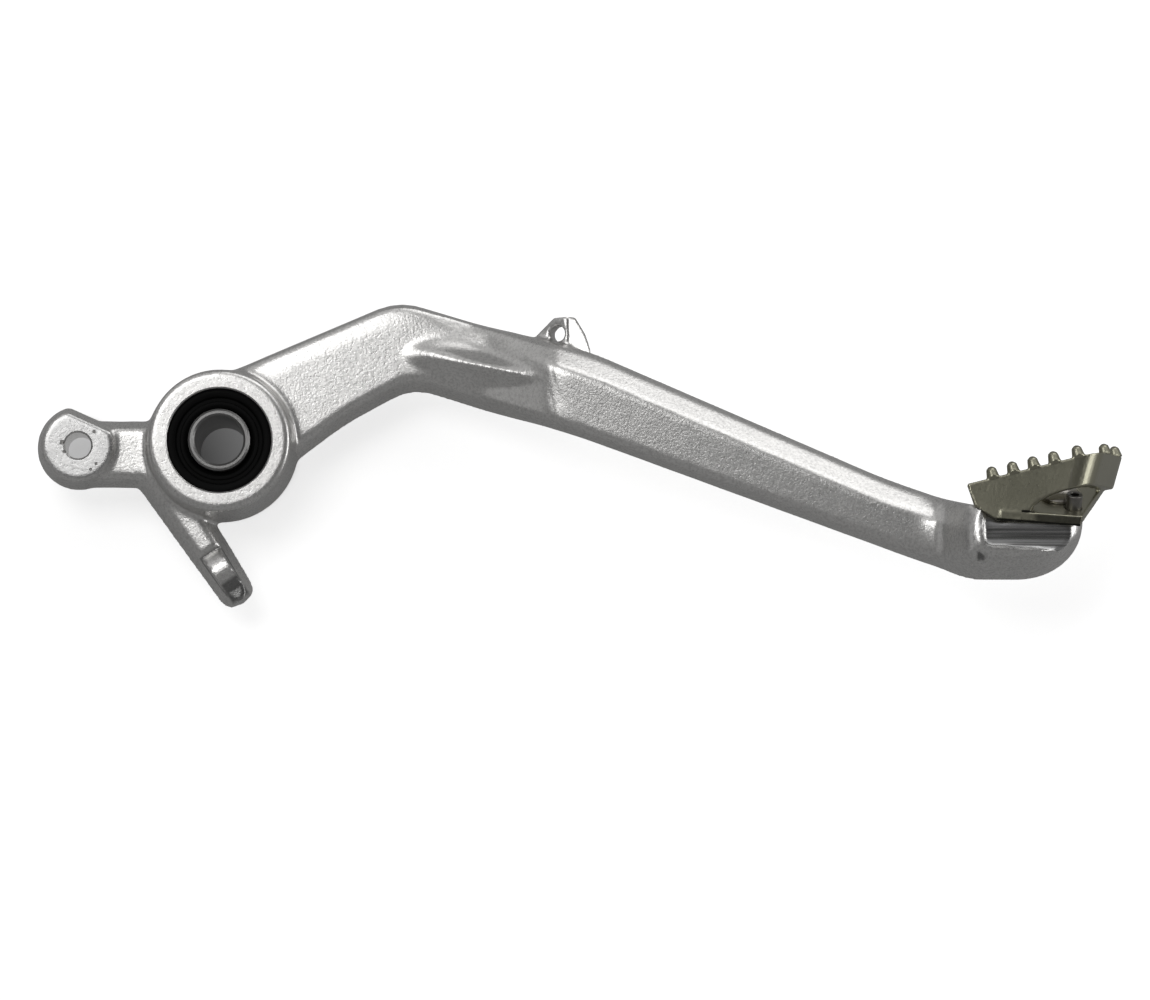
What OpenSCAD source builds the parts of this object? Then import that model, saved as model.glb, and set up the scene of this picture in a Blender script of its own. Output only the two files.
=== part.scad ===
// Rear brake pedal for a motorbike: forged lever, folded toothed step and needle-bearing pivot.
// +X points forward along the lever, +Z up, and the outer side of the pedal faces -Y.
// The origin is the pivot axis, which runs along Y, at the middle of the pivot boss.

/* [Pivot boss] */
// Width of the boss along the pivot axis
boss_w = 27; // [24:0.5:32]
// Diameter of the machined ring at each end of the boss
boss_face_d = 33.2; // [31:0.2:35]
// Diameter of the boss at its parting line
boss_d = 38.6; // [37:0.2:42]

/* [Pivot bearing] */
// Bore of the sleeve, which takes the pivot bolt
sleeve_bore_d = 12.2; // [10:0.1:13]
// Outer diameter of the sleeve
sleeve_d = 15.4; // [15:0.1:17]
// How far the sleeve stands out of each face of the boss
sleeve_proud = 0.8; // [0.2:0.1:2]
// Diameter of the needle rollers
needle_d = 2; // [1.5:0.1:2.2]
// Number of needle rollers
needle_count = 18; // [12:1:20]
// Wall of the bearing shell
shell_wall = 0.96; // [0.6:0.02:1.2]
// Width of the bearing shell
bearing_w = 12; // [10:0.5:13]
// Outer diameter of the seals
seal_d = 26; // [25:0.2:28]
// Width of each seal
seal_w = 4.6; // [3:0.1:5]
// How deep each seal lies below the face of the boss
seal_recess = 1.4; // [0.5:0.1:2]
// Running clearance on each side of anything that turns in the pivot
run_gap = 0.04; // [0.02:0.01:0.09]

/* [Push-rod arm] */
// Distance from the pivot axis back to the push-rod hole
push_reach = 35.6; // [32:0.2:44]
// Height of the push-rod hole above the pivot axis
push_rise = -0.5; // [-4:0.1:3]
// Diameter of the push-rod hole
push_hole_d = 6.5; // [5:0.1:8]
// Diameter of the flat ring round the push-rod hole
eye_face_d = 16.4; // [14:0.2:18]
// Diameter of the push-rod eye at its parting line
eye_d = 21.4; // [20:0.2:24]
// Thickness of the push-rod eye
eye_t = 12; // [9:0.5:14]
// Height of the push-rod arm at its parting line
push_arm_h = 17; // [14:0.5:19]
// How far the face of the push-rod arm lies below the face of its eye
push_step = 1.2; // [0.4:0.1:2]
// Distance from the push-rod hole to the flat that clears the clevis
clevis_flat = 6.3; // [5.5:0.1:8]
// Draft angle of that flat
clevis_draft = 18; // [8:1:24]

/* [Stop finger] */
// Length of the finger from the level of the pivot axis to its tip
finger_l = 35.6; // [30:0.2:44]
// Angle of the finger below the forward direction
finger_angle = 56.6; // [50:0.2:64]
// Sideways distance from the pivot axis to the middle of the finger
finger_offset = 17.1; // [16:0.1:18.5]
// Width of the finger at its tip
finger_tip_w = 8.8; // [7:0.2:10]
// Width of the finger at its root
finger_root_w = 12.6; // [11:0.2:14]
// Thickness of the finger
finger_t = 10; // [8:0.5:12]
// Draft of the side walls of the finger
finger_draft = 2.6; // [1.5:0.1:3.2]
// Length of the raised contact pad on the finger
contact_l = 10; // [8:0.2:12]
// Width of the raised contact pad on the finger
contact_w = 4.8; // [3.5:0.1:5.4]
// Height of the raised contact pad
contact_h = 2.4; // [1:0.1:3]
// Depth of the step down to the level round the contact pad
contact_step = 1; // [0.4:0.1:1.6]

/* [Arm] */
// Thickness of the arm from its outer to its inner side
arm_t = 12; // [10:0.2:14]
// How far the outer face of the arm at the boss lies outward of the middle of the boss
arm_face = 5.5; // [4:0.1:7]
// Forward position of the knee, the highest point of the arm
knee_x = 44; // [40:0.5:48]
// Height of the knee above the pivot axis
knee_z = 36.8; // [34:0.2:40]
// Height of the arm at the knee
knee_h = 22.4; // [20:0.2:25]
// Forward position where the outward bend starts
bend_x = 64; // [60:0.5:68]
// Length of the outward bend along X
bend_l = 18; // [15:0.5:22]
// How far the bend carries the arm outward
bend_out = 11.5; // [8:0.5:14]
// Forward position of the crook, where the arm starts to drop faster
crook_x = 92; // [88:0.5:98]
// Height of the top edge at the crook
crook_z = 22.4; // [20:0.2:25]
// Height of the arm at the crook
crook_h = 22.4; // [20:0.2:25]
// Height of the bevel along the upper outer edge
bevel_h = 7; // [5:0.2:9]
// Depth of that bevel beyond the outward bend
bevel_in = 3.6; // [2:0.1:5]
// Draft of the forged side walls, from the face to the parting line, ahead of the bend
draft = 1.5; // [0.8:0.1:2.2]
// Draft of the same walls between the boss and the knee
root_draft = 2.6; // [1.5:0.1:3.2]

/* [Gusset] */
// Forward position of the pointed rear end of the gusset
gusset_x = 46; // [44:0.5:50]
// Length of the gusset
gusset_l = 33.5; // [28:0.5:34]
// Widest height of the gusset
gusset_h = 10; // [7:0.2:12]

/* [Spring eye] */
// Forward position of the return-spring hole
lug_x = 83.8; // [82:0.2:86]
// Height of the spring hole above the top edge of the arm
lug_rise = 2.4; // [2:0.1:4]
// Diameter of the spring hole
lug_hole_d = 4; // [3:0.1:4.6]
// Thickness of the lug
lug_t = 4; // [3:0.1:5]

/* [Step plate] */
// Forward position of the rear lower corner of the step
step_x = 192.3; // [184:0.5:200]
// How far outward of the boss middle the outer wall of the step stands
step_out = 31; // [28:0.5:34]
// How far the rear lower corner of the step lies below the pivot axis
step_drop = 22; // [18:0.5:26]
// Slope of the floor of the step, up toward the inner side
floor_slope = 31; // [27:0.5:34]
// Pitch of the floor of the step, down toward the front
floor_pitch = 4.2; // [2:0.2:7]
// Rise of the toothed rim toward the front
rim_pitch = 14; // [11:0.5:16]
// Lean of the toothed rim, down toward the inner side
rim_lean = 3; // [0:0.5:5]
// Sheet thickness of the step
sheet = 2.2; // [1.8:0.1:2.6]
// Height of the rim above the rear lower corner of the step
rim_h = 10.9; // [9.5:0.1:12]
// Width of the free toothed band
band_h = 7.3; // [5.5:0.1:8]
// Width of the step across the lever
step_w = 24.4; // [22:0.2:27]
// Distance from the rear lower corner forward to the front outer corner of the band
band_l = 27.8; // [25:0.2:29]
// Forward flare of the band toward its toothed rim, as run over height
flare = 0.58; // [0.3:0.02:0.6]
// Distance from the same corner forward to the rear end of the inner side of the band
inner_from = 17.5; // [16:0.5:20]
// Depth of the straight rear edge of the floor
floor_rear = 16; // [13:0.5:18]
// Distance from the same corner forward to the slit where the band leaves the floor
arch_from = 8.1; // [7:0.1:9]
// Length over which the lower edge of the band rises clear of the floor
arch_l = 9; // [7:0.1:11]
// Forward sweep of the front of the step, as run over depth
sweep = 0.38; // [0.3:0.02:0.45]
// Height of a tooth
tooth_h = 2.9; // [2.4:0.1:4]
// Diameter of a tooth at its foot
tooth_d = 3.3; // [2.6:0.1:3.6]
// Spacing of the teeth along the outer wall
tooth_pitch = 5.2; // [4.6:0.1:5.4]

/* [Tip pad] */
// How far the pad reaches inward from the outer wall of the step
pad_w = 20; // [17:0.5:21.5]
// Length of the pad ahead of the rear lower corner of the step
pad_l = 20.8; // [19:0.2:23]
// Height of the pad below the seat at its outer side
pad_h = 13.7; // [11:0.1:15]
// How far the milled outer side of the pad lies inside the step's outer wall
mill_in = 1.6; // [1:0.1:2.4]
// Height of the milled side below the seat
mill_h = 6; // [4:0.1:7]

/* [Screw and pin] */
// Thread diameter of the step screw
screw_d = 6; // [5:0.1:7]
// Diameter of its domed head
head_d = 11.2; // [10:0.2:12.4]
// Height of its domed head
head_h = 3.4; // [2.4:0.1:4.2]
// Length of the screw below its head
screw_l = 12; // [9:0.5:13]
// Distance of the screw from the rear edge of the floor
screw_u = 14.5; // [13:0.1:15]
// Distance of the screw up the slope of the floor
screw_v = 13; // [12.8:0.1:15]
// Outer diameter of the locating pin
pin_d = 4; // [3:0.1:4.6]
// How far the pin stands above the floor
pin_proud = 3.7; // [2:0.1:3.8]
// How deep the pin reaches into the pad
pin_in = 3; // [2:0.1:4]
// Distance of the pin from the rear edge of the floor
pin_u = 18; // [17.4:0.1:18.4]
// Distance of the pin up the slope of the floor
pin_v = 6; // [5.2:0.1:6.2]

/* [Hidden] */

silver = [0.80, 0.81, 0.81];
nickel = [0.46, 0.45, 0.40];
zinc = [0.72, 0.70, 0.63];
black = [0.06, 0.06, 0.06];
steel = [0.62, 0.63, 0.64];

overlap = 1;
room = 3 * step_w;
step_at = [step_x, -step_out, -step_drop];
boss_half = boss_w / 2;
sleeve_l = boss_w + 2 * sleeve_proud;
race_r = sleeve_d / 2;
pitch_r = race_r + run_gap + needle_d / 2;
shell_in_r = pitch_r + needle_d / 2 + run_gap;
shell_r = shell_in_r + shell_wall;
needle_l = bearing_w - 3;

function mix(a, b, t) = a + (b - a) * t;
function eased(t) = let (c = max(0, min(1, t))) c * c * (3 - 2 * c);
function total(v, i = 0) = i < len(v) ? v[i] + total(v, i + 1) : 0;

// Value at x of a line given by corners, with each corner rounded over the length w.
function along(x, line, w, n = 12) =
    total([for (k = [0:n - 1]) lookup(x + w * ((k + 0.5) / n - 0.5), line)]) / n;

// A polygon with each corner cut back by its own length and rounded in n steps.
function rounded(corners, cuts, n = 3) = [
    for (i = [0:len(corners) - 1])
        let (
            c = corners[i],
            back = corners[(i + len(corners) - 1) % len(corners)] - c,
            ahead = corners[(i + 1) % len(corners)] - c,
            cut = min(cuts[i], 0.45 * norm(back), 0.45 * norm(ahead)),
            a = c + back / norm(back) * cut,
            b = c + ahead / norm(ahead) * cut
        )
        each cuts[i] == 0 ? [c] : [for (k = [0:n]) let (s = k / n) mix(mix(a, c, s), mix(c, b, s), s)]
];

// A solid through rings of points that stand one after another along X.
module skin(rings) {
    n = len(rings[0]);
    last = len(rings) - 1;
    sides = [
        for (i = [0:last - 1], k = [0:n - 1])
            let (a = i * n + k, b = i * n + (k + 1) % n)
            each [[a, b, b + n], [a, b + n, a + n]]
    ];
    caps = [[for (k = [n - 1:-1:0]) k], [for (k = [0:n - 1]) last * n + k]];
    polyhedron([for (r = rings) each r], concat(sides, caps), convexity = 8);
}

// Ring of a drafted beam at x, from low to high, with its half thickness and the depth of its draft.
function beam_ring(x, low, high, half, d) = [
    for (p = rounded(
        [[0, low], [-half, low + d], [-half, high - d], [0, high], [half, high - d], [half, low + d]],
        [0, 1.2, 1.2, 0, 1.2, 1.2]
    )) [x, p[0], p[1]]
];

module drum(profile) {
    rotate([90, 0, 0]) rotate_extrude($fn = 96) polygon(profile);
}

module rod_y(d, l, y = 0) {
    translate([0, y, 0]) rotate([90, 0, 0]) cylinder(d = d, h = l, center = true, $fn = 96);
}

// Profile of a forged boss, from one face over the parting line to the other.
function boss_profile(face_r, foot_r, half) =
    let (
        wall = foot_r - face_r,
        side = [
            [face_r, half], [face_r + 0.22 * wall, half - 0.1 * wall],
            [face_r + 0.42 * wall, half - 0.4 * wall], [foot_r - 0.16 * wall, 0.22 * half],
        ]
    )
    concat([[0, half]], side, [[foot_r, 0]], [for (i = [3:-1:0]) [side[i][0], -side[i][1]]], [[0, -half]]);

pad_end = step_at[0] + pad_l;
pad_from = step_at[0] - 13;
heel = [step_at[0] - 27.3, step_at[2] + 12.3];
top_line = [
    [0, 18], [knee_x, knee_z], [crook_x, crook_z], heel, [step_at[0] - 5.3, step_at[2] + 4.6],
    [pad_end, step_at[2] + 3],
];
under_line = [
    [0, -18], [14, -7.6], [30, 5], [knee_x + 3.5, knee_z - knee_h + 0.2], [knee_x + 14, knee_z - 25.4],
    [crook_x, crook_z - crook_h], [step_at[0] - 16, step_at[2] - 9.4], [step_at[0] - 1, step_at[2] - pad_h],
    [pad_end, step_at[2] - pad_h],
];
bend_end = bend_x + bend_l;
face_line = [
    [0, -arm_face], [bend_x, -arm_face], [bend_end, -arm_face - bend_out],
    [pad_from, -arm_face - bend_out - 3.5], [step_at[0] - 4, step_at[1]], [pad_end, step_at[1]],
];
back_line = [
    [0, arm_t - arm_face], [bend_x + 2, arm_t - arm_face], [bend_end + 4, arm_t - arm_face - bend_out],
    [pad_from, arm_t - arm_face - bend_out - 3.5], [pad_end, arm_t - arm_face - bend_out - 3.5],
];
function top_at(x) = along(x, top_line, 11);
function under_at(x) = along(x, under_line, 10);
function face_at(x) = along(x, face_line, 7);
function back_at(x) = along(x, back_line, 8);

// Height of the seat plane of the step over any point.
function seat_z(x, y) =
    step_at[2] - (x - step_at[0]) * tan(floor_pitch)
    + (y - step_at[1]) * tan(floor_slope) / cos(floor_pitch);

// Section of the arm at x: two drafted halves, with a bevel along the upper outer edge.
function arm_ring(x) =
    let (
        z1 = top_at(x),
        z0 = under_at(x),
        y0 = face_at(x),
        y1 = back_at(x),
        ym = (y0 + y1) / 2,
        d = mix(root_draft, draft, eased((x - bend_x + 6) / bend_l)),
        b = mix(0.5, bevel_in, eased((x - bend_x) / bend_l)),
        h = bevel_h * mix(0.8, 1, eased((x - knee_x) / bend_l)),
        lean = mix(0, 0.9, eased((x - bend_x) / bend_l))
    )
    rounded(
        [[ym, z0], [y0 + lean, z0 + d], [y0, z1 - h], [y0 + b, z1 - 1.2], [ym, z1], [y1, z1 - draft], [y1, z0 + d]],
        [0, 1.4, 1.2, 1.2, 0, 1.4, 1.4]
    );

// Section of the pad at x: level with the seat plane above, rounded below and round the nose.
function pad_ring(x) =
    let (
        q = max(0, (x - pad_end + 16) / 16.1),
        nose = sqrt(max(0, 1 - q * q)),
        w = max(0, (x - pad_end + 10) / 10.1),
        round_in = 7 * (1 - sqrt(max(0, 1 - w * w))),
        y0 = step_at[1] + round_in,
        y1 = step_at[1] + pad_w - round_in,
        ym = (y0 + y1) / 2,
        z0 = step_at[2] - pad_h * nose,
        low = mix(z0, seat_z(x, y0), 0.42),
        z_out = seat_z(x, y0) + overlap,
        z_in = seat_z(x, y1) + overlap,
        z_mid = seat_z(x, ym) + overlap
    )
    rounded(
        [[ym, z0], [y0, low], [y0, mix(low, z_out, 0.6)], [y0 + 0.6, z_out], [ym, z_mid], [y1, z_in],
            [y1, mix(z0, z_in, 0.35)]],
        [0, 3, 1.2, 0.5, 0, 1.4, 3]
    );

module arm() {
    steady = [for (x = [3:3:pad_from - 1]) x];
    flaring = [for (x = [pad_from:1.5:pad_end - 6]) x];
    closing = [for (k = [5:-1:0]) pad_end - 0.1 - 0.2 * k * k];
    skin([
        for (x = concat(steady, flaring, closing))
            let (a = arm_ring(x), p = pad_ring(x), t = eased((x - pad_from + 2) / 12))
            [
                for (k = [0:len(a) - 1])
                    let (top = a[k][1] > under_at(x) + 0.7 * (top_at(x) - under_at(x)))
                    let (q = mix(a[k], p[k], top ? eased((x - step_at[0] + 5) / 4) : t))
                    [x, mix(a[k][0], p[k][0], t), q[1]]
            ]
    ]);
}

// Leaf-shaped gusset that bridges the inner corner of the outward bend.
module gusset() {
    start = gusset_x;
    end = gusset_x + gusset_l;
    crest = [[start, -arm_face], [end, face_at(end)]];
    skin([
        for (k = [0:22])
            let (
                s = k / 22,
                x = mix(start, end, s),
                half = 0.3 + gusset_h / 2 * pow(sin(180 * pow(s, 0.72)), 0.8),
                mid = mix(top_at(x), under_at(x), mix(0.56, 0.44, s)) - 1,
                base = face_at(x) + overlap,
                y = min(lookup(x, crest), face_at(x)) - 0.25,
                flank = mix(base - overlap, y, 0.42)
            )
            [
                [x, base, mid - half], [x, base - overlap, mid - half], [x, flank, mid - 0.48 * half],
                [x, y, mid - 0.1 * half], [x, y, mid + 0.1 * half], [x, flank, mid + 0.48 * half],
                [x, base - overlap, mid + half], [x, base, mid + half],
            ]
    ]);
}

module push_arm() {
    mid = push_rise - 1.7;
    skin([
        for (x = [-push_reach, -boss_d / 4])
            beam_ring(x, mid - push_arm_h / 2, mid + push_arm_h / 2, eye_t / 2 - push_step, 2.2)
    ]);
}

// Eye for the push rod, with a flat across its upper front that clears the clevis.
module push_eye() {
    translate([-push_reach, 0, push_rise]) difference() {
        drum(boss_profile(eye_face_d / 2, eye_d / 2, eye_t / 2));
        for (side = [-1, 1])
            rotate([0, -65.5, 0]) translate([clevis_flat, side * eye_t / 2, 0])
                rotate([0, 0, side * clevis_draft]) translate([0, -eye_d, -eye_d]) cube(2 * eye_d);
    }
}

module finger() {
    root_at = -4;
    lengths = [root_at, finger_l - 3, finger_l - 1.2, finger_l - 0.3, finger_l];
    trims = [0, 0, 0.5, 1.3, 2.2];
    rotate([0, finger_angle, 0]) translate([0, 0, -finger_offset]) skin([
        for (k = [0:len(lengths) - 1])
            let (
                x = lengths[k],
                half = mix(finger_root_w, finger_tip_w, (x - root_at) / (finger_l - root_at)) / 2 - trims[k]
            )
            beam_ring(x, -half, half, finger_t / 2 - trims[k] / 3, min(finger_draft, 0.8 * half))
    ]);
}

// Step down to the level round the contact pad, and the pad itself.
step_from = finger_l - 1.5 * contact_l;
module finger_step_cut() {
    rotate([0, finger_angle, 0])
        translate([step_from, contact_step - finger_t, -finger_offset - finger_root_w])
            cube([finger_l, finger_t / 2, 2 * finger_root_w]);
}

module contact_pad() {
    r = (contact_l * contact_l / 4 + contact_h * contact_h) / (2 * contact_h);
    floor_y = contact_step - finger_t / 2;
    rotate([0, finger_angle, 0]) intersection() {
        translate([step_from + 1 + contact_l / 2, floor_y + r - contact_h, -finger_offset])
            cylinder(r = r, h = contact_w, center = true, $fn = 96);
        translate([step_from, floor_y - contact_h, -finger_offset - contact_w])
            cube([contact_l + 2, contact_h + overlap, 2 * contact_w]);
    }
}

lug_turn = 22.7;
lug_z = along(lug_x, top_line, 11) + lug_rise;
lug_y = back_at(lug_x) - 5.2;
module spring_lug() {
    intersection() {
        translate([lug_x, lug_y, lug_z - 12]) linear_extrude(20) polygon([
            [-7.3, 3.05], [2.5, -1.05], [8.7, 3.6], [7, 4.6], [2.5 + lug_t * 0.386, lug_t * 0.923 - 1.05],
            [-7.3 + lug_t * 0.386, 3.05 + lug_t * 0.923],
        ]);
        translate([lug_x, lug_y + 15, lug_z]) rotate([90, 0, 0]) linear_extrude(30) polygon([
            [-7, -9], [-6.4, -2.4], [-5, 0], [-0.8, 4], [4.5, 4.2], [7, 0.3], [9, -5.2], [9, -9],
        ]);
    }
}

module spring_hole() {
    translate([lug_x, lug_y, lug_z]) rotate([90, 0, -lug_turn]) cylinder(d = lug_hole_d, h = 30, center = true, $fn = 64);
}

// The step's own frames: the floor lies on the seat, and the toothed rim is level with the top frame.
module on_seat() {
    translate(step_at) rotate([0, floor_pitch, 0]) rotate([floor_slope, 0, 0]) children();
}

module on_rim() {
    translate(step_at) rotate([0, -rim_pitch, 0]) rotate([-rim_lean, 0, 0]) children();
}

// Room over the seat, and behind the rear edge of the step's outer wall.
module seat_cut() {
    on_seat() translate([-1.5, -room / 2, 0]) cube(room);
    on_rim() translate([0, sheet + run_gap, 0]) rotate([90, 0, 0]) linear_extrude(room / 2)
        polygon(concat(wall_rear, [[sheet, 0], [sheet, rim_h]]));
}

// Pocket milled along the outer side of the pad, with the radius of its cutter at the closed corner.
module mill_cut() {
    cutter = 2.5;
    high = 3 * mill_h;
    translate([step_at[0] - 4, step_at[1] + mill_in, step_at[2] - mill_h]) rotate([90, floor_pitch, 0])
        linear_extrude(step_w / 2) polygon(rounded(
            [[0, 0], [room / 2, 0], [room / 2, high], [-1.6, high]], [cutter, 0, 0, 0], 6
        ));
}

module lever() {
    color(silver) difference() {
        union() {
            difference() {
                union() {
                    arm();
                    gusset();
                    push_arm();
                    push_eye();
                    finger();
                }
                seat_cut();
                mill_cut();
                finger_step_cut();
            }
            drum(boss_profile(boss_face_d / 2, boss_d / 2, boss_half));
            contact_pad();
            spring_lug();
        }
        rod_y(2 * shell_r, 2 * boss_w);
        for (side = [-1, 1]) {
            translate([0, side * (boss_half - (seal_recess + seal_w) / 2 + overlap / 2), 0])
                rod_y(seal_d, seal_recess + seal_w + overlap);
        }
        translate([-push_reach, 0, push_rise]) rod_y(push_hole_d, 2 * eye_t);
        spring_hole();
        on_seat() translate([screw_u, screw_v, -screw_l - 1]) cylinder(d = screw_d, h = screw_l + 5, $fn = 64);
        on_seat() translate([pin_u, pin_v, -pin_in]) cylinder(d = pin_d, h = pin_in + 4, $fn = 64);
    }
}

// The toothed band runs along the outer wall, round the front and back along the inner side.
front_run = atan(sweep);
wall_back = 0.5 * rim_h;
wall_rear = [[-wall_back, rim_h], [-0.92 * wall_back, 0.47 * rim_h], [0, 0]];
function band_corners(inset) = let (x = band_l - inset / cos(front_run)) [
    [-2 * wall_back, inset], [x + sweep * inset, inset], [x + sweep * (step_w - inset), step_w - inset],
    [inner_from, step_w - inset],
];
function band_edge(inset) = rounded(
    band_corners(inset), [0, 5.6 - 0.6 * inset, 6.4 - inset, 0], 8
);
module band() {
    edges = [band_edge(0), band_edge(sheet)];
    n = len(edges[0]);
    points = [
        for (z = [rim_h, -0.6 * rim_h], edge = edges, p = edge) [p[0] + flare * (z - rim_h), p[1], z]
    ];
    out_low = 2 * n;
    in_low = 3 * n;
    walls = [
        for (i = [0:n - 2])
            let (j = i + 1)
            each [
                [i, n + i, n + j, j], [out_low + i, out_low + j, in_low + j, in_low + i],
                [i, j, out_low + j, out_low + i], [n + j, n + i, in_low + i, in_low + j],
            ]
    ];
    ends = [[n, 0, out_low, in_low], [n - 1, 2 * n - 1, 4 * n - 1, 3 * n - 1]];
    polyhedron(points, concat(walls, ends), convexity = 6);
}

module step_plate() {
    band_z = rim_h - band_h;
    slit_z = 0.8;
    arch_z = 1.85;
    arch = [
        for (s = [0:0.25:1]) [arch_from + 0.9 + (arch_l - 0.9) * s, band_z - arch_z * (1 - s) * (1 - s)]
    ];
    front = pad_l - 1.2;
    deep = (step_w - 0.3) / cos(floor_slope);
    color(nickel) {
        difference() {
            on_rim() {
                intersection() {
                    band();
                    translate([0, 1.2 * step_w, 0]) rotate([90, 0, 0]) linear_extrude(1.4 * step_w)
                        polygon(concat(
                            wall_rear, [[0, -4], [arch_from - 3, -4], [arch_from - 3, slit_z], [arch_from, slit_z]],
                            arch, [[2 * band_l, band_z], [2 * band_l, rim_h]]
                        ));
                }
                teeth();
            }
            on_seat() translate([-room / 2, -room / 2, -room]) cube([2 * room, 2 * room, room]);
        }
        difference() {
            on_seat() linear_extrude(sheet) polygon([
                [0, 0], [front, 0], [front + sweep * (step_w - 1), deep], [inner_from + 0.5, deep], [0.5, floor_rear],
            ]);
            translate([step_x - room / 2, -step_out - room, -step_drop - room / 2]) cube(room);
            on_seat() translate([screw_u, screw_v, -1]) cylinder(d = screw_d + 0.4, h = 4 * sheet, $fn = 64);
            on_seat() translate([pin_u, pin_v, -1]) cylinder(d = pin_d, h = 4 * sheet, $fn = 64);
        }
    }
}

module tooth() {
    tip_r = 0.74 * tooth_d / 2;
    cylinder(r1 = tooth_d / 2, r2 = tip_r, h = tooth_h - 0.5 * tip_r, $fn = 32);
    translate([0, 0, tooth_h - tip_r]) sphere(r = tip_r, $fn = 32);
}

module teeth() {
    mid = sheet / 2;
    front = band_l - mid / cos(front_run);
    spots = concat(
        [for (k = [0:4]) [1.2 + k * tooth_pitch + (k == 4 ? 0.8 : 0), mid]],
        [for (y = [0.4, 0.76] * step_w) [front + sweep * y, y]],
        [for (x = [4, 9.5]) [inner_from + x, step_w - mid]]
    );
    for (p = spots) translate([p[0], p[1], rim_h]) tooth();
}

module step_screw() {
    color(zinc) on_seat() translate([screw_u, screw_v, sheet]) {
        dome = head_h - 0.8;
        r = (head_d * head_d / 4 + dome * dome) / (2 * dome);
        difference() {
            intersection() {
                translate([0, 0, head_h - r]) sphere(r = r, $fn = 96);
                cylinder(d = head_d, h = head_h + 1, $fn = 96);
            }
            rotate([0, 0, 20]) translate([-head_d, -0.7, head_h - 1.6]) cube([2 * head_d, 1.4, 3]);
        }
        translate([0, 0, -screw_l]) cylinder(d = screw_d - 0.1, h = screw_l, $fn = 64);
    }
}

module locating_pin() {
    color(nickel) on_seat() translate([pin_u, pin_v, -pin_in]) difference() {
        cylinder(d = pin_d, h = pin_in + sheet + pin_proud, $fn = 64);
        translate([0, 0, -1]) cylinder(d = pin_d * 0.55, h = pin_in + sheet + pin_proud + 2, $fn = 48);
    }
}

module seal(side) {
    outer = boss_half - seal_recess;
    lip = race_r + run_gap;
    profile = [
        [lip, outer - 1.6], [lip + 1.2, outer - 0.6], [seal_d / 2 - 2.6, outer - 0.6], [seal_d / 2 - 2, outer],
        [seal_d / 2, outer], [seal_d / 2, outer - seal_w], [seal_d / 2 - 1.6, outer - seal_w],
        [seal_d / 2 - 1.6, outer - 2.2], [lip + 1.6, outer - 2.2], [lip, outer - 2],
    ];
    drum([for (p = profile) [p[0], -side * p[1]]]);
}

module outer_seal() {
    color(black) seal(-1);
}

module inner_seal() {
    color(black) seal(1);
}

module bearing_shell() {
    half = bearing_w / 2;
    lip_r = pitch_r - 0.35;
    color(steel) drum([
        [shell_r, -half], [shell_r, half], [lip_r, half], [lip_r, half - shell_wall],
        [shell_in_r, half - shell_wall], [shell_in_r, shell_wall - half], [lip_r, shell_wall - half],
        [lip_r, -half],
    ]);
}

module at_needles() {
    for (k = [0:needle_count - 1]) rotate([0, 360 / needle_count * k, 0]) translate([pitch_r, 0, 0]) children();
}

module needle_cage() {
    half = needle_l / 2 + 0.5;
    color(steel) difference() {
        drum([
            [pitch_r - 0.7, -half], [pitch_r + 0.7, -half], [pitch_r + 0.7, half], [pitch_r - 0.7, half],
        ]);
        at_needles() rod_y(needle_d + 0.1, needle_l + 0.1);
    }
}

module needle_rollers() {
    color(steel) at_needles() rod_y(needle_d, needle_l);
}

module pivot_sleeve() {
    bore_r = sleeve_bore_d / 2;
    half = sleeve_l / 2;
    ease = 0.5;
    color(steel) drum([
        [bore_r, ease - half], [bore_r + ease, -half], [race_r - ease, -half], [race_r, ease - half],
        [race_r, half - ease], [race_r - ease, half], [bore_r + ease, half], [bore_r, half - ease],
    ]);
}

lever();
step_plate();
step_screw();
locating_pin();
outer_seal();
inner_seal();
bearing_shell();
needle_cage();
needle_rollers();
pivot_sleeve();
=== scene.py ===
import bpy, bmesh, math
import numpy as np
from mathutils import Matrix, Vector


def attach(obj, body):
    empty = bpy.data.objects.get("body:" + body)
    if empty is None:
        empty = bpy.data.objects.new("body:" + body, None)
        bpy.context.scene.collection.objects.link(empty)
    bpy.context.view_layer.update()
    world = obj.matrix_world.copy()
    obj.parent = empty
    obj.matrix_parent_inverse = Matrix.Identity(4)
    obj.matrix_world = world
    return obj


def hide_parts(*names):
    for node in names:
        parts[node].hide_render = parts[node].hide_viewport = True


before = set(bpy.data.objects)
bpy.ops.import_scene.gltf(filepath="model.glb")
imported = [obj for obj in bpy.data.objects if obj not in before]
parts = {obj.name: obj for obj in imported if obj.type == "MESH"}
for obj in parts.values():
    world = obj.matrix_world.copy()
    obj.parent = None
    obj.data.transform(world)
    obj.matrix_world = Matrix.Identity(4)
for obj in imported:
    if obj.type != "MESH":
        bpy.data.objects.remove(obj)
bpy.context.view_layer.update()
pace = 1  # a fast look does a quarter of the softening, on a coarser skin
coarser = 1
mm = 0.001
print("frame loaded:", len(parts), "pieces")


# the camera, at the photograph's angle
shot = {
    "aim": (0.0883, 0.0, -0.01358),
    "rise": -6.0,    # degrees: it looks up at the pedal a little
    "reach": 1.5,
    "lens": 187.83,
    "sensor": 36,
}


def aimAt(obj, spot):
    obj.rotation_euler = (Vector(spot) - obj.location).to_track_quat("-Z", "Y").to_euler()


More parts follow.
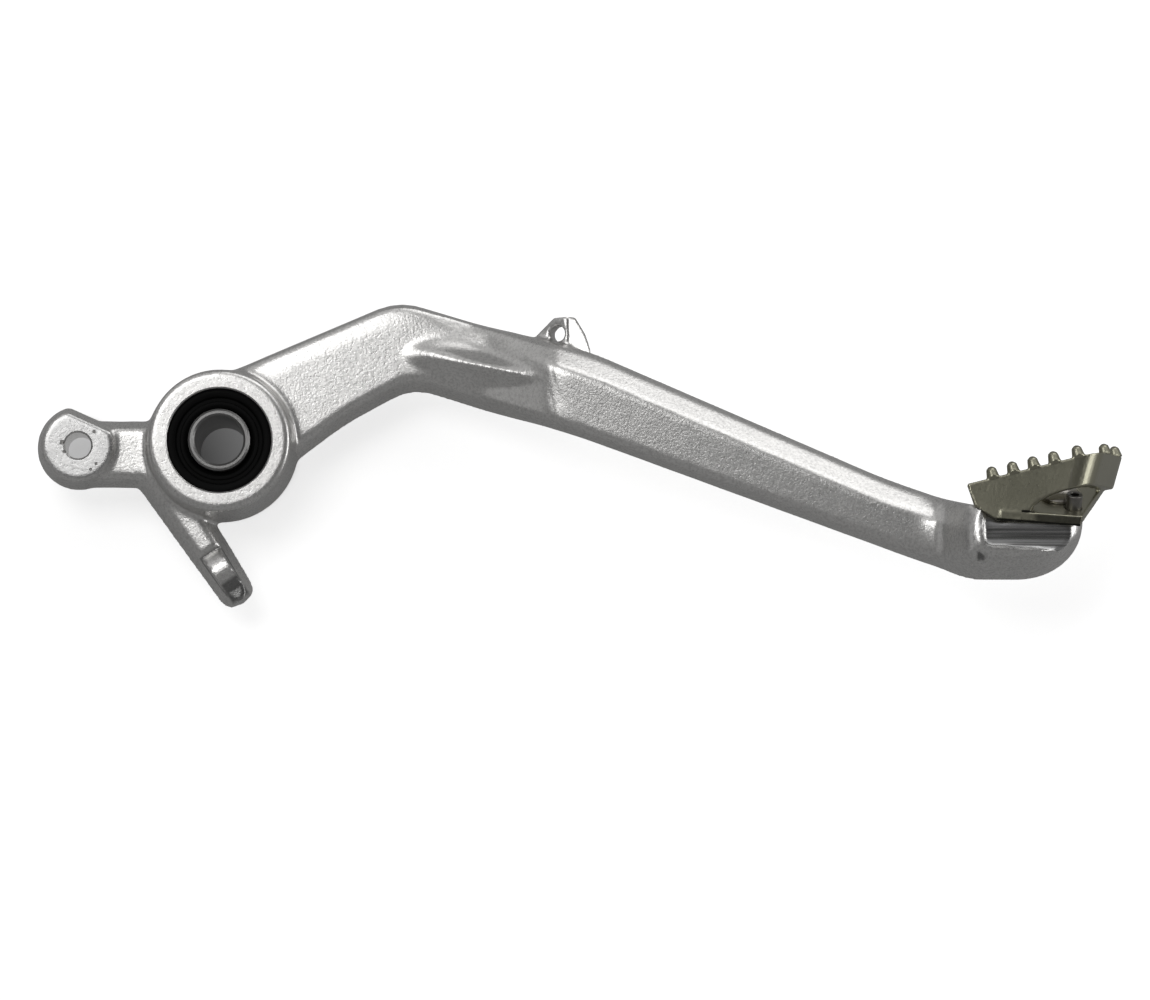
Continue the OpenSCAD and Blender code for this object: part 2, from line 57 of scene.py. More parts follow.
def setCamera():
    lens = bpy.data.cameras.new("photoView")
    lens.lens, lens.sensor_width = shot["lens"], shot["sensor"]
    lens.clip_start, lens.clip_end = 0.05, 50
    eye = bpy.data.objects.new("photoView", lens)
    bpy.context.scene.collection.objects.link(eye)
    tilt = math.radians(shot["rise"])
    back = Vector((0, -math.cos(tilt), math.sin(tilt))) * shot["reach"]
    eye.location = Vector(shot["aim"]) + back
    aimAt(eye, shot["aim"])
    bpy.context.scene.camera = eye


# sockets with arithmetic, and the node trees they belong to
class Wire:  # one socket
    def __init__(self, bench, socket):
        self.bench, self.socket = bench, socket

    def joined(self, how, other, swap=False):
        a, b = (other, self) if swap else (self, other)
        return self.bench.add("Math", {"operation": how}, {0: a, 1: b})

    def __add__(self, other):
        return self.joined("ADD", other)

    def __radd__(self, other):
        return self.joined("ADD", other)

    def __sub__(self, other):
        return self.joined("SUBTRACT", other)

    def __rsub__(self, other):
        return self.joined("SUBTRACT", other, True)

    def __mul__(self, other):
        return self.joined("MULTIPLY", other)

    def __rmul__(self, other):
        return self.joined("MULTIPLY", other)

    def __pow__(self, other):
        return self.joined("POWER", other)

    def __abs__(self):
        return self.bench.add("Math", {"operation": "ABSOLUTE"}, {0: self})

    def highest(self, other):
        return self.joined("MAXIMUM", other)

    def over(self, edge, width):  # 0 below the edge, 1 above it, eased over width
        return self.bench.add(
            "MapRange", {"interpolation_type": "SMOOTHSTEP"},
            {"Value": self, "From Min": edge - width / 2, "From Max": edge + width / 2},
        )

    def within(self, middle, reach, width):
        return 1 - abs(self - middle).over(reach, width)


class Bench:  # one node tree
    def __init__(self, tree):
        self.tree = tree

    def add(self, kind, settings=None, sockets=None, out=0):
        node = self.tree.nodes.new("ShaderNode" + kind)
        for key, value in (settings or {}).items():
            if key == "easing":
                node.color_ramp.interpolation = value
            elif key == "stops":
                ramp = node.color_ramp.elements
                while len(ramp) < len(value):
                    ramp.new(0.5)
                for stop, (spot, tint) in zip(ramp, value):
                    stop.position, stop.color = spot, tint
            else:
                setattr(node, key, value)
        for key, value in (sockets or {}).items():
            if isinstance(value, Wire):
                self.tree.links.new(value.socket, node.inputs[key])
            else:
                node.inputs[key].default_value = value
        return Wire(self, node.outputs[out])

    def split(self, vector):
        node = self.add("SeparateXYZ", sockets={"Vector": vector}).socket.node
        return [Wire(self, node.outputs[k]) for k in range(3)]

    def surface(self, wire, sink):
        self.tree.links.new(wire.socket, self.tree.nodes[sink].inputs["Surface"])


class Finish(Bench):  # one material
    def __init__(self, name, **fixed):
        self.look = bpy.data.materials.new(name)
        self.look.use_nodes = True
        super().__init__(self.look.node_tree)
        self.shader = self.tree.nodes["Principled BSDF"]
        for socket, value in fixed.items():
            self.shader.inputs[socket.replace("_", " ")].default_value = value
        self.place = self.add("TexCoord", out="Object")

    def axes(self):
        return self.split(self.place)

    def apart(self, first, second, a, b):  # distance from one line
        return ((first - a) * (first - a) + (second - b) * (second - b)) ** 0.5

    def stretched(self, sx, sy, sz, turn=(0, 0, 0)):
        return self.add("Mapping", sockets={"Vector": self.place, "Scale": (sx, sy, sz), "Rotation": turn})

    def noise(self, scale, detail=2.0, coarse=0.5, at=None):
        return self.add("TexNoise", sockets={
            "Vector": at or self.place, "Scale": scale, "Detail": detail, "Roughness": coarse,
        })

    def lines(self, along, across, detail, coarse=0.5):  # fine marks that follow two running values
        spot = self.add("CombineXYZ", sockets={0: along, 1: across, 2: 0.0})
        return self.noise(1.0, detail, coarse, at=spot)

    def blend(self, share, first, second):  # colours
        return self.add("Mix", {"data_type": "RGBA"}, {0: share, 6: first, 7: second}, 2)

    def ease(self, share, first, second):  # plain numbers
        return first + (second - first) * share

    def bump(self, height):
        return self.add("Bump", {}, {"Height": height, "Distance": 1.0 * mm, "Strength": 1.0})

    def feed(self, **links):
        for socket, wire in links.items():
            self.tree.links.new(wire.socket, self.shader.inputs[socket.replace("_", " ")])
        return self.look


def grey(level, warm=0.0):
    return (level * (1 + warm), level, level * (1 - 1.6 * warm), 1)


# pale room and soft lamps
studio = {
    "backdrop": 0.92,  # brightness of the plain background
    "glow": [  # light of the room, from straight below to straight above
        (0.0, 0.26), (0.4, 0.208), (0.5, 0.08), (0.62, 0.08), (0.8, 0.50), (0.93, 0.50), (1.0, 0.16),
    ],
    "target": (0.08, 0, 0),
    "lamps": [  # name, place, size, watts
        ("frontLeft", (-0.29, -1.1, 0.33), (0.6, 0.5), 3.12),
        ("topRight", (0.45, -0.55, 0.95), (0.9, 0.6), 2.5),
        ("leftSide", (-1.2, -0.65, 0.1), (0.6, 0.8), 0.5),
        ("rightSide", (1.2, -0.35, 0.1), (0.5, 0.7), 3.2),
        ("behind", (-0.1, 1.2, 0.2), (0.9, 0.7), 2.4),
    ],
}


def setRoom():
    room = bpy.data.worlds.new("paleRoom")
    bpy.context.scene.world = room
    room.use_nodes = True
    b = Bench(room.node_tree)
    seen = b.add("Background", {}, {"Color": grey(studio["backdrop"])})
    height = b.split(b.add("TexCoord", out="Generated"))[2]
    share = b.add("MapRange", {}, {"Value": height, "From Min": -1, "From Max": 1})
    stops = [(spot, grey(level)) for spot, level in studio["glow"]]
    glow = b.add("ValToRGB", {"easing": "EASE", "stops": stops}, {"Fac": share})
    lit = b.add("Background", {}, {"Color": glow})
    direct = b.add("LightPath", out="Is Camera Ray")
    b.surface(b.add("MixShader", {}, {0: direct, 1: lit, 2: seen}), "World Output")


def setLamps():
    for name, spot, size, watts in studio["lamps"]:
        glow = bpy.data.lights.new(name, "AREA")
        glow.shape, glow.size, glow.size_y, glow.energy = "RECTANGLE", size[0], size[1], watts
        lamp = bpy.data.objects.new(name, glow)
        lamp.location = spot
        aimAt(lamp, studio["target"])
        lamp.visible_camera = False
        bpy.context.scene.collection.objects.link(lamp)


# the pale table that the pedal lies on, behind it in this frame; only its front shows
tabletop = {
    "place": 0.0147,
    "half": 2.5,
    "seen": (0.80, 0.83, 0.66),     # its two tones and its own light, where the camera looks at it
    "towardPedal": (0.34, 0.06),    # the same as the pedal's flanks get it
    "bossShade": (0, 0.0015, 0.017, 0.006),      # painted shadow under the boss and the eye: x, z, radius, softness
    "eyeShade": (-0.0356, 0.001, 0.007, 0.007),
    # tones of the painted shadow under the boss (darkest, lightest) and under the eye (colour, own light)
    "bossShadeTones": (0.05, 0.16),
    "eyeShadeTones": (0.4, 0.34),
}


def shadeUnder(b, x, z, spot):
    sx, sz, radius, soft = spot
    return 1 - b.apart(x, z, sx, sz).over(radius, soft)


def setTable():
    mesh = bpy.data.meshes.new("paleTable")
    half = tabletop["half"]
    corners = [(-half, -half), (half, -half), (half, half), (-half, half)]
    mesh.from_pydata([(x, tabletop["place"], z) for x, z in corners], [], [(0, 1, 2, 3)])
    table = bpy.data.objects.new("paleTable", mesh)
    bpy.context.scene.collection.objects.link(table)
    b = Finish("paleTable", Roughness=0.8, Specular_IOR_Level=0.1, Emission_Strength=1.0)
    x, y, z = b.axes()
    mottle = b.noise(18, 3)
    direct = b.add("LightPath", out="Is Camera Ray")
    # painted shadow: the table is coloured and lit darker under the boss and under the eye
    boss = shadeUnder(b, x, z, tabletop["bossShade"])
    eye = shadeUnder(b, x, z, tabletop["eyeShade"])
    first, second, shine = (grey(level) for level in tabletop["seen"])
    dull, faint = (grey(level) for level in tabletop["towardPedal"])
    dark, lift = (grey(level) for level in tabletop["bossShadeTones"])
    eyeTone, eyeShine = (grey(level) for level in tabletop["eyeShadeTones"])
    tone = b.blend(eye, b.blend(direct, dull, b.blend(mottle, first, second)), eyeTone)
    own = b.blend(eye, b.blend(direct, faint, shine), eyeShine)
    dim = b.blend(x * 60.0 + z * 25.0 + 0.45, dark, lift)
    b.feed(Base_Color=b.blend(boss, tone, dark), Emission_Color=b.blend(boss, own, dim))
    behind = b.add("NewGeometry", out="Backfacing")
    passing = b.add("LightPath", out="Is Shadow Ray")
    clear = b.add("BsdfTransparent")
    solid = Wire(b, b.shader.outputs[0])
    b.surface(b.add("MixShader", {}, {0: behind.highest(passing), 1: solid, 2: clear}), "Material Output")
    mesh.materials.append(b.look)


bpy.context.scene.view_settings.view_transform = "Standard"
setCamera()
setRoom()
setLamps()
setTable()
print("room, lamps, table and camera set")


# shared mesh work, in mm
nearAxis = 0.0001  # a lathed ring's smallest radius


def newPiece(name, mesh, look, body, slot, *nodes):
    piece = bpy.data.objects.new(name, mesh)
    bpy.context.scene.collection.objects.link(piece)
    mesh.materials.clear()
    mesh.materials.append(look)
    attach(piece, body)
    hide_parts(*nodes)
    return piece


def ringed(bm, profile, steps, turn=None):  # closed lathe about Y from (radius, y) points
    turn = turn or Matrix.Identity(4)
    rings = []
    for k in range(steps):
        a = 2 * math.pi * k / steps
        rings.append([
            bm.verts.new(turn @ Vector((r * math.cos(a) * mm, y * mm, r * math.sin(a) * mm)))
            for r, y in profile
        ])
    count = len(profile)
    for k in range(steps):
        here, there = rings[k], rings[(k + 1) % steps]
        for i in range(count):
            j = (i + 1) % count
            bm.faces.new((here[i], here[j], there[j], there[i]))


def meshOf(bm, name):
    mesh = bpy.data.meshes.new(name)
    bmesh.ops.recalc_face_normals(bm, faces=bm.faces)
    bm.to_mesh(mesh)
    bm.free()
    return mesh


def solidOf(node):  # a CAD solid as an editable copy
    bm = bmesh.new()
    bm.from_mesh(parts[node].data)
    bmesh.ops.remove_doubles(bm, verts=bm.verts, dist=1e-6)
    return bm


def scratchObject(mesh, name="scratch"):
    obj = bpy.data.objects.new(name, mesh)
    bpy.context.scene.collection.objects.link(obj)
    return obj


def shown(obj):  # the mesh with its modifiers applied
    bpy.context.view_layer.update()
    depths = bpy.context.evaluated_depsgraph_get()
    return bpy.data.meshes.new_from_object(obj.evaluated_get(depths))


def reskinned(bm, voxel):
    obj = scratchObject(meshOf(bm, "skin"))
    skin = obj.modifiers.new("skin", "REMESH")
    skin.mode, skin.voxel_size = "VOXEL", voxel * coarser * mm
    out = shown(obj)
    bpy.data.objects.remove(obj)
    return out


def carved(mesh, cutters):  # one pass of crisp cuts
    obj = scratchObject(mesh)
    bm = bmesh.new()
    for profile, turn in cutters:
        ringed(bm, profile, 96, turn)
    tool = scratchObject(meshOf(bm, "knife"), "knife")
    cut = obj.modifiers.new("cut", "BOOLEAN")
    cut.operation, cut.solver, cut.object = "DIFFERENCE", "EXACT", tool
    out = shown(obj)
    bpy.data.objects.remove(obj)
    bpy.data.objects.remove(tool)
    return out


def coordsOf(mesh):
    co = np.empty(len(mesh.vertices) * 3)
    mesh.vertices.foreach_get("co", co)
    return co.reshape(-1, 3) / mm


def edgesOf(mesh):
    ends = np.empty(len(mesh.edges) * 2, int)
    mesh.edges.foreach_get("vertices", ends)
    return ends.reshape(-1, 2)


def putCoords(mesh, co):
    mesh.vertices.foreach_set("co", (co * mm).ravel())
    mesh.update()


def relaxed(co, ends, weight, rounds, keep=True):  # even out the skin; keep holds its volume
    count = len(co)
    valence = np.bincount(ends.ravel(), minlength=count).clip(1)[:, None]
    a, b = ends[:, 0], ends[:, 1]
    for k in range(rounds):
        for pull in ((0.5, -0.52) if keep else (0.5,)):
            mean = np.empty_like(co)
            for axis in range(3):
                mean[:, axis] = (
                    np.bincount(a, co[b, axis], count) + np.bincount(b, co[a, axis], count)
                )
            mean /= valence
            co = co + weight[:, None] * pull * (mean - co)
    return co


def bell(value, middle, reach):
    return np.exp(-(((value - middle) / reach) ** 2))


def easing(value, start, end):
    t = np.clip((value - start) / (end - start), 0, 1)
    return t * t * (3 - 2 * t)


def finished(mesh, sharp=40):
    mesh.shade_smooth()
    mesh.set_sharp_from_angle(angle=math.radians(sharp))
    return mesh


# silver forging: its skin is remade from the CAD solid, softened and cut, all in mm
forging = {
    "skin": 0.52,          # size of the skin's faces
    "fillet": 9,           # rounds of softening where forged walls meet
    "settle": 3,           # rounds over the whole skin
    "pivot": (10.74, 13.0, 7.5, 13.5),    # bearing bore, seal bore, seal shoulder, half width
    "pushHole": (-35.6, -0.5, 3.25, 6.0),  # x, z, radius, half width
    "mouths": (0.35, 0.45),               # eased edges of the pivot bore and of the push-rod hole
    "bossFace": (11.2, 12.6, 17.4, 18.6),  # crisp faces: depth from and to, radius from and to
    "eyeFace": (4.4, 5.6, 8.6, 9.6),
    "tipPad": (187, 190),                 # crisp from here on
    "fingerTip": (26, 30, 40),
    "bossFoot": (20.0, 3.2, 9, 11.5),     # soft foot round the boss: radius, width, depth from and to
    "eyeFoot": (12.5, 3.0),
    "gusset": (42, 46, 80, 84, 4.6, 6.0, 0.8),  # along x, depth from and to, share
    "lugFoot": (84, 21.5, 7.0, -14, -11, 0.6),
    "ridge": (48, 79, 22.2, 0.182, 2.0),  # leaf gusset's crest: from x, to x, z, slope, reach
    "ridgeRounds": 40,
    "eased": [  # where the outer side flows softly: x, z, reach, rounds
        (61.5, 27.5, 6, 160), (82.5, 11, 4, 60), (178.5, -19, 7, 140),
    ],
    "dent": (187.7, -31, -30.3, 1.3, 1.2),   # place, radius, depth
}


def plugged(bm, radius, half, steps, turn=None):  # close a hole before the new skin
    ringed(bm, [(nearAxis, -half), (radius, -half), (radius, half), (nearAxis, half)], steps, turn)


def throughCut(radius, half, ease, reach=4.0):  # a hole with eased mouths
    mouth = radius + ease
    return [
        (nearAxis, -half - reach), (mouth + reach, -half - reach), (mouth, -half), (radius, -half + ease),
        (radius, half - ease), (mouth, half), (mouth + reach, half + reach), (nearAxis, half + reach),
    ]


def seatCut(bore, seal, shoulder, half, ease, reach=3.0):  # the pivot bore with a seat for a seal on each side
    mouth = seal + ease
    return [
        (nearAxis, -half - reach), (mouth + reach, -half - reach), (mouth, -half), (seal, -half + ease),
        (seal, -shoulder), (bore, -shoulder), (bore, shoulder), (seal, shoulder),
        (seal, half - ease), (mouth, half), (mouth + reach, half + reach), (nearAxis, half + reach),
    ]


def crispFace(depth, radius, limits):
    depthFrom, depthTo, radiusFrom, radiusTo = limits
    return easing(depth, depthFrom, depthTo) * (1 - easing(radius, radiusFrom, radiusTo))


def filleted(co, ends):  # soften where walls meet, keep the machined faces crisp
    x, y, z = co.T
    hx, hz = forging["pushHole"][:2]
    ringR, eyeR = np.hypot(x, z), np.hypot(x - hx, z - hz)
    inFace = crispFace(abs(y), ringR, forging["bossFace"])
    eyeFace = crispFace(abs(y), eyeR, forging["eyeFace"])
    pad = easing(x, *forging["tipPad"])
    tipFrom, tipTo, tipX = forging["fingerTip"]
    tipSide = easing(x * 0.55 - z * 0.83, tipFrom, tipTo) * (x < tipX)
    guard = 1 - np.maximum.reduce([inFace, eyeFace, pad * 0.7, tipSide * 0.8])
    footR, footWide, footFrom, footTo = forging["bossFoot"]
    x0, x1, x2, x3, d0, d1, share = forging["gusset"]
    lugX, lugZ, lugReach, lugFrom, lugTo, lugShare = forging["lugFoot"]
    rounding = np.maximum.reduce([
        bell(ringR, footR, footWide) * (1 - easing(abs(y), footFrom, footTo)),
        bell(eyeR, *forging["eyeFoot"]),
        easing(x, x0, x1) * (1 - easing(x, x2, x3)) * easing(-y, d0, d1) * share,
        bell(np.hypot(x - lugX, z - lugZ), 0, lugReach) * easing(y, lugFrom, lugTo) * lugShare,
    ])
    co = relaxed(co, ends, guard * np.clip(rounding, 0, 1), forging["fillet"] // pace, False)
    return relaxed(co, ends, 0.35 + 0.65 * guard, forging["settle"])


def flowing(co, ends, facing):  # the softer transitions on the outer side
    for spotX, spotZ, reach, rounds in forging["eased"]:
        flow = easing(facing, 0.55, 0.8) * bell(np.hypot(co[:, 0] - spotX, co[:, 2] - spotZ), 0, reach)
        co[:, 1] = relaxed(co, ends, flow, rounds // pace, False)[:, 1]
    fromX, toX, atZ, slope, reach = forging["ridge"]
    crest = bell(co[:, 2] - atZ + (co[:, 0] - fromX) * slope, 0, reach) * easing(facing, 0.1, 0.4)
    crest = crest * easing(co[:, 0], fromX - 3, fromX + 1) * (1 - easing(co[:, 0], toX - 1, toX + 3))
    return relaxed(co, ends, crest, forging["ridgeRounds"] // pace, False)


def leverPiece(look):
    bore, seal, shoulder, half = forging["pivot"]
    hx, hz, hr, hh = forging["pushHole"]
    atEye = Matrix.Translation((hx * mm, 0, hz * mm))
    bm = solidOf("lever")
    plugged(bm, seal + 0.6, half, 96)
    plugged(bm, hr + 0.8, hh, 48, atEye)
    mesh = reskinned(bm, forging["skin"])
    co, ends = coordsOf(mesh), edgesOf(mesh)
    facing = np.empty(len(co) * 3)
    mesh.vertices.foreach_get("normal", facing)
    co = flowing(filleted(co, ends), ends, -facing[1::3])
    dx, dy, dz, dr, deep = forging["dent"]
    co[:, 1] += deep * bell(np.linalg.norm(co - (dx, dy, dz), axis=1), 0, dr)
    putCoords(mesh, co)
    seatEase, holeEase = forging["mouths"]
    mesh = carved(mesh, [
        (seatCut(bore, seal, shoulder, half, seatEase), None),
        (throughCut(hr, hh, holeEase), atEye),
    ])
    return newPiece("leverForging", finished(mesh), look, "lever", "forged_silver", "lever")


# silver paint: fine flake and orange peel, turned and milled faces, small marks, painted shade at the finger
# pad and in the dent; places in mm
silver = {
    "dark": 0.60,
    "pale": 0.74,
    "warm": 0.012,
    "grain": 0.04,         # height of the grain
    "peel": 0.05,
    "gloss": (0.22, 0.09, 0.05),  # roughness: even part, share of grain, share of drift
    "bossFace": (13.3, 16.6),     # turned faces: depth, radius
    "eyeFace": (5.8, 8.2),
    "milled": (-29.4, 189, -29.2),  # y of the milled side, from x, from z
    "bare": (0.19, 0.44),         # its tones
    "finger": (0.5505, 0.8348),   # direction of the stop finger
    "fingerFootShade": (29.6, 35.0, -16.9, 2.4),  # painted shade at the foot of its pad: along from and to, across, half width
    "rim": (-4.0, 21, 30),        # painted shade as a dark line round the pad: y, along from, x to
    "nicks": [  # small dark marks on the push-rod eye: x, z, radius
        (-39.5, 0.3, 0.55), (-38.9, -2.1, 0.4), (-31.6, 2.9, 0.35), (-32.3, -6.5, 0.4), (-31.0, -5.2, 0.3),
    ],
}


def silverPaint():
    b = Finish("silverPaint", Metallic=0.9)
    x, y, z = b.axes()
    hx, hz = [v * mm for v in forging["pushHole"][:2]]
    side, ringR, eyeR = abs(y), (x * x + z * z) ** 0.5, b.apart(x, z, hx, hz)
    bossY, bossR = [v * mm for v in silver["bossFace"]]
    eyeY, eyeEdge = [v * mm for v in silver["eyeFace"]]
    bossFace = side.over(bossY, 0.1 * mm) * (1 - ringR.over(bossR, 0.3 * mm))
    eyeFace = side.over(eyeY, 0.1 * mm) * (1 - eyeR.over(eyeEdge, 0.3 * mm))
    turned = bossFace.highest(eyeFace)
    millY, millX, millZ = [v * mm for v in silver["milled"]]
    milled = y.within(millY, 0.3 * mm, 0.1 * mm) * x.over(millX, 0.5 * mm) * z.over(millZ, 0.3 * mm)
    grain = b.noise(1750, 1, 0.7)
    flake = b.noise(1500, 2, 0.7, at=b.stretched(1, 1.3, 0.9, (0.4, 0.2, 0.3)))
    peel = b.noise(190, 2)
    drift = b.noise(28, 2)
    warm = silver["warm"]
    tone = b.blend(peel * 0.5 + drift * 0.4, grey(silver["dark"], warm), grey(silver["pale"], warm))
    tone = b.blend(flake.over(0.47, 0.22), b.blend(0.26, tone, grey(0.2)), tone)
    strokes = b.noise(1.0, 2, 0.55, at=b.stretched(12, 60, 1150)).over(0.5, 0.34)  # along the milled side
    bareDark, barePale = silver["bare"]
    colour = b.blend(milled, tone, b.blend(strokes, grey(bareDark, 0.01), grey(barePale)))
    colour = b.blend(eyeFace * 0.6, colour, grey(0.36))
    cosine, sine = silver["finger"]
    along, across = x * cosine - z * sine, x * sine + z * cosine  # down the finger and across it
    start, end, middle, wide = [v * mm for v in silver["fingerFootShade"]]
    foot = along.within((start + end) / 2, (end - start) / 2, 1.2 * mm) * across.within(middle, wide, 0.8 * mm)
    foot = foot * (1 - y.over(-1.5 * mm, mm))
    rimY, rimFrom, rimTo = [v * mm for v in silver["rim"]]
    rim = y.within(rimY, 0.25 * mm, 0.3 * mm) * along.over(rimFrom, 0.5 * mm) * (1 - x.over(rimTo, mm))
    # painted shade: darker at the foot of the finger's pad and in a line round the pad
    colour = b.blend((foot * 0.8).highest(rim * 0.6), colour, grey(0.1))
    # painted shade: the dent is coloured dark, for the shade in its hollow
    dx, dy, dz, dr = [v * mm for v in forging["dent"][:4]]
    dent = 1 - (b.apart(x, z, dx, dz) + b.noise(520, 3) * 2.4 * mm).over(dr + mm, 0.8 * mm)
    dent = dent * (1 - y.over(dy + 3 * mm, mm))
    colour = b.blend(dent * 0.75, colour, grey(0.06))
    ragged = b.noise(900, 2) * 0.7 * mm
    nicks = None
    for nx, nz, size in silver["nicks"]:
        mark = 1 - (b.apart(x, z, nx * mm, nz * mm) + ragged).over((size + 0.35) * mm, 0.2 * mm)
        nicks = mark if nicks is None else nicks.highest(mark)
    nicks = nicks * (1 - y.over(-5.4 * mm, 0.4 * mm))  # on the outer side only
    specks = b.noise(420, 2, 0.6).over(0.76, 0.03) * (1 - milled)
    colour = b.blend(nicks.highest(specks * 0.35), colour, grey(0.14, 0.02))
    even, byGrain, byDrift = silver["gloss"]
    gloss = b.ease(milled, even + grain * byGrain + drift * byDrift, 0.22 + strokes * 0.14)
    height = (grain * silver["grain"] + peel * silver["peel"]) * (1 - milled * 0.9 - turned * 0.35)
    height = height + strokes * 0.06 * milled - nicks * 0.1
    height = height + b.lines(ringR * 5200.0, 0.0, 1) * 0.01 * turned  # lathe rings on the turned faces
    return b.feed(Base_Color=colour, Roughness=gloss, Normal=b.bump(height))


leverPiece(silverPaint())
print("lever forging done")


def softened(node, values):
    mesh = reskinned(solidOf(node), values["skin"])
    co, ends = coordsOf(mesh), edgesOf(mesh)
    putCoords(mesh, relaxed(co, ends, np.ones(len(co)), values["rounds"]))
    return finished(mesh, 50)


# step plate in dark nickel; places in mm
step = {
    "skin": 0.27,
    "rounds": 4,
    "dark": (0.25, 0.245, 0.185, 1),
    "pale": (0.37, 0.357, 0.28, 1),
    "edgeAndShadeTone": 0.008,                 # dark tone along the sheared edge, and painted shadow in the gap at the plate's lower edge and painted shade in the slit
    "corner": (192.3, -31, -22),   # rear lower corner of the step
    "pitch": 0.0734,               # how its floor falls toward the front
    "shorn": (8.6, 2.5),           # sheared edge: starts ahead of the corner, height
    "slit": (6.9, 1.6, 2.85, 0.3),  # middle and half width ahead of the corner, middle and half height
}


def darkNickel():
    b = Finish("darkNickel", Metallic=0.95)
    grain = b.noise(1400, 3, 0.6)
    drift = b.noise(75, 2)
    tone = b.blend(drift * 0.7 + grain * 0.3, step["dark"], step["pale"])
    scuffs = b.noise(1.0, 3, 0.7, at=b.stretched(300, 300, 40)).over(0.66, 0.08)
    tone = b.blend(scuffs * 0.35, tone, grey(0.36, 0.05))
    x, y, z = b.axes()
    cx, cy, cz = [v * mm for v in step["corner"]]
    ahead = x - cx
    rise = z - cz + ahead * step["pitch"]  # height over the seat at the outer wall
    outer = 1 - y.over(cy + 0.5 * mm, 0.3 * mm)
    shornX, shornZ = [v * mm for v in step["shorn"]]
    # darker along the floor's sheared edge; painted shadow along the plate's lower edge, in the gap; painted
    # shade in the slit
    shorn = outer * ahead.over(shornX, 2 * mm) * (1 - rise.over(shornZ, 0.2 * mm)) * 0.75
    gap = outer * (1 - rise.over(0.75 * mm, 0.4 * mm)) * ahead.over(-1 * mm, 1 * mm)
    slitX, slitWide, slitZ, slitHigh = [v * mm for v in step["slit"]]
    slit = outer * ahead.within(slitX, slitWide, 0.2 * mm) * rise.within(slitZ, slitHigh, 0.15 * mm)
    tone = b.blend(shorn.highest(slit).highest(gap) * 0.95, tone, grey(step["edgeAndShadeTone"]))
    gloss = 0.22 + grain * 0.10 + drift * 0.06
    return b.feed(Base_Color=tone, Roughness=gloss, Normal=b.bump(grain * 0.03 + drift * 0.1))


# slotted screw in bright zinc
screw = {"skin": 0.16, "rounds": 2, "dark": grey(0.44, 0.045), "pale": grey(0.66, 0.04), "gloss": 0.22}


def zincPlate():
    b = Finish("zincPlate", Metallic=1.0)
    grain = b.noise(1100, 3, 0.6)
    smear = b.noise(1.0, 2, 0.6, at=b.stretched(90, 500, 90))
    tone = b.blend(smear, screw["dark"], screw["pale"])
    return b.feed(Base_Color=tone, Roughness=screw["gloss"] + smear * 0.14, Normal=b.bump(grain * 0.03))


# spring pin in dark drawn steel
pin = {"skin": 0.14, "rounds": 2, "dark": grey(0.13, 0.04), "pale": grey(0.26, 0.04), "gloss": 0.28}


def pinSteel():
    b = Finish("pinSteel", Metallic=1.0)
    grain = b.noise(1300, 2, 0.6)
    drawn = b.noise(1.0, 2, 0.6, at=b.stretched(1500, 1500, 60))
    tone = b.blend(drawn, pin["dark"], pin["pale"])
    return b.feed(Base_Color=tone, Roughness=pin["gloss"] + grain * 0.12, Normal=b.bump(drawn * 0.03))


newPiece("steppedPlate", softened("step_plate", step), darkNickel(), "lever", "dark_nickel", "step_plate")
newPiece("slottedScrew", softened("step_screw", screw), zincPlate(), "lever", "zinc_screw", "step_screw")
newPiece("springPin", softened("locating_pin", pin), pinSteel(), "lever", "pin_steel", "locating_pin")
print("step plate, screw and pin done")


# lip seals in black rubber, in mm
seal = {"lip": 7.75, "radius": 13.0, "top": 12.1, "width": 4.6, "dark": 0.002, "pale": 0.005, "gloss": 0.38}


def sealRubber():
    b = Finish("sealRubber", Specular_IOR_Level=0.05)
    bloom = b.noise(240, 3, 0.6)
    grain = b.noise(2200, 2)
    tone = b.blend(bloom, grey(seal["dark"]), grey(seal["pale"]))
    height = grain * 0.02 + bloom * 0.04
    return b.feed(Base_Color=tone, Roughness=seal["gloss"] + bloom * 0.2, Normal=b.bump(height))


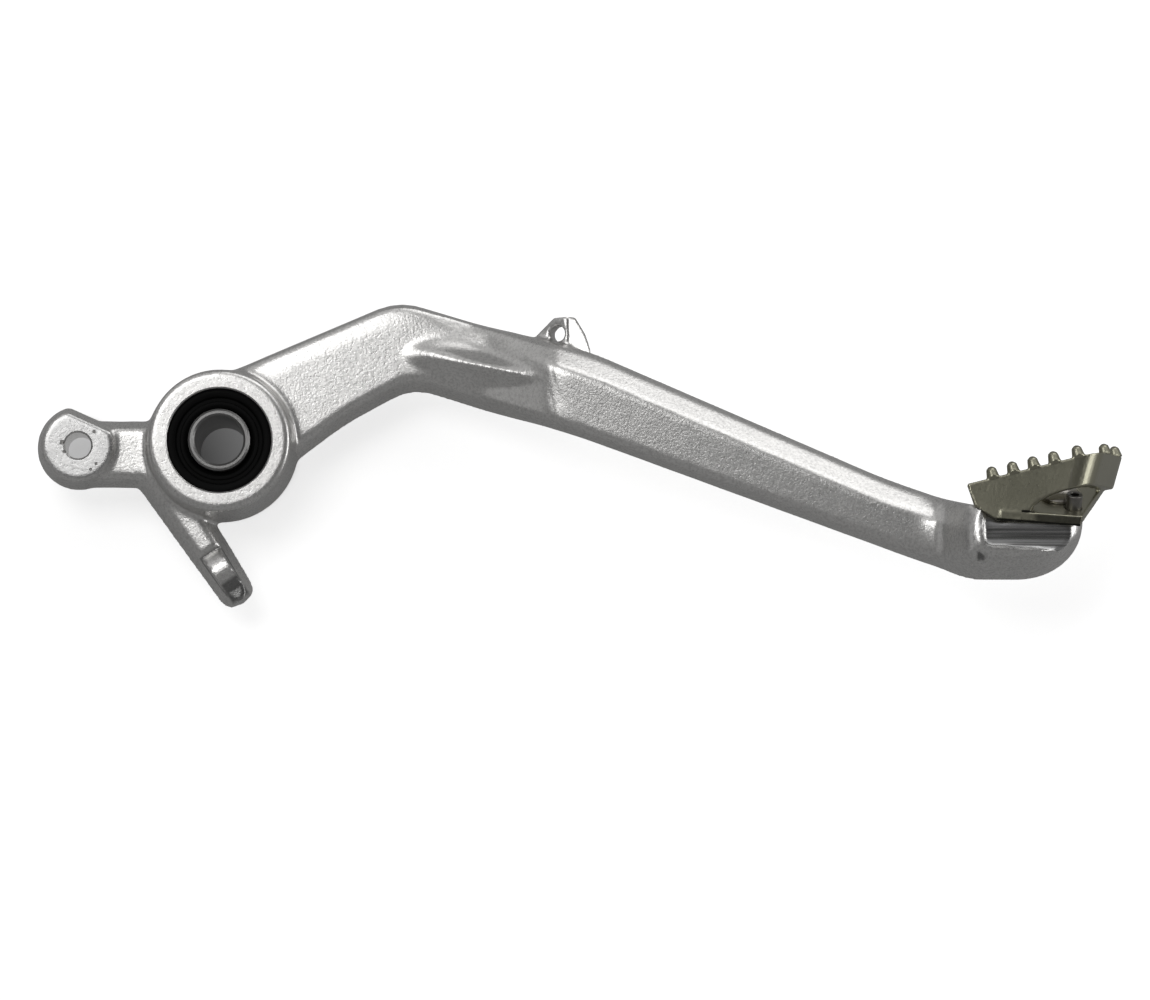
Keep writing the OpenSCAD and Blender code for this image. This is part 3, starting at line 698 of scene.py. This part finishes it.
def sealPiece(name, node, side, look):
    lip, big, top, wide = (seal[k] for k in ("lip", "radius", "top", "width"))
    profile = [
        (lip, top - 1.65), (lip + 0.25, top - 1.2), (lip + 0.8, top - 0.72), (lip + 1.3, top - 0.55),
        (lip + 1.9, top - 0.62), (lip + 2.15, top - 0.85), (big - 2.35, top - 0.85), (big - 2.15, top - 0.5),
        (big - 2.0, top - 0.12), (big - 1.8, top), (big - 0.3, top), (big - 0.08, top - 0.08),
        (big, top - 0.3), (big, top - wide + 0.2), (big - 0.2, top - wide), (big - 1.5, top - wide),
        (big - 1.6, top - wide + 0.1), (big - 1.6, top - 2.3), (big - 1.8, top - 2.1), (lip + 1.7, top - 2.1),
        (lip + 1.2, top - 2.4), (lip + 0.4, top - 2.3), (lip, top - 1.95),
    ]
    bm = bmesh.new()
    ringed(bm, [(r, side * y) for r, y in profile], 128)
    newPiece(name, finished(meshOf(bm, name), 35), look, "lever", "seal_rubber", node)


rubber = sealRubber()
sealPiece("outerLipSeal", "outer_seal", -1, rubber)
sealPiece("innerLipSeal", "inner_seal", 1, rubber)


# sleeve and bearing: the CAD solids in ground steel
sleeve = {"name": "sleeveSteel", "level": 0.24, "gloss": 0.34, "hoops": 2600.0}
bearing = {"name": "bearingSteel", "level": 0.58, "gloss": 0.2, "hoops": 1800.0}


def groundSteel(values):
    b = Finish(values["name"], Metallic=1.0)
    x, y, z = b.axes()
    ringR = (x * x + z * z) ** 0.5
    hoops = b.lines(y * values["hoops"], ringR * 6000.0, 2, 0.6)
    drift = b.noise(140, 2)
    level = values["level"]
    tone = b.blend(hoops * 0.6 + drift * 0.4, grey(level * 0.8, 0.01), grey(level * 1.1, 0.01))
    return b.feed(Base_Color=tone, Roughness=values["gloss"] + drift * 0.12, Normal=b.bump(hoops * 0.02))


def dress(look, *nodes):
    for node in nodes:
        mesh = parts[node].data
        mesh.materials.clear()
        mesh.materials.append(look)


dress(groundSteel(sleeve), "pivot_sleeve")
dress(groundSteel(bearing), "bearing_shell", "needle_cage", "needle_rollers")
print("pivot pieces done")
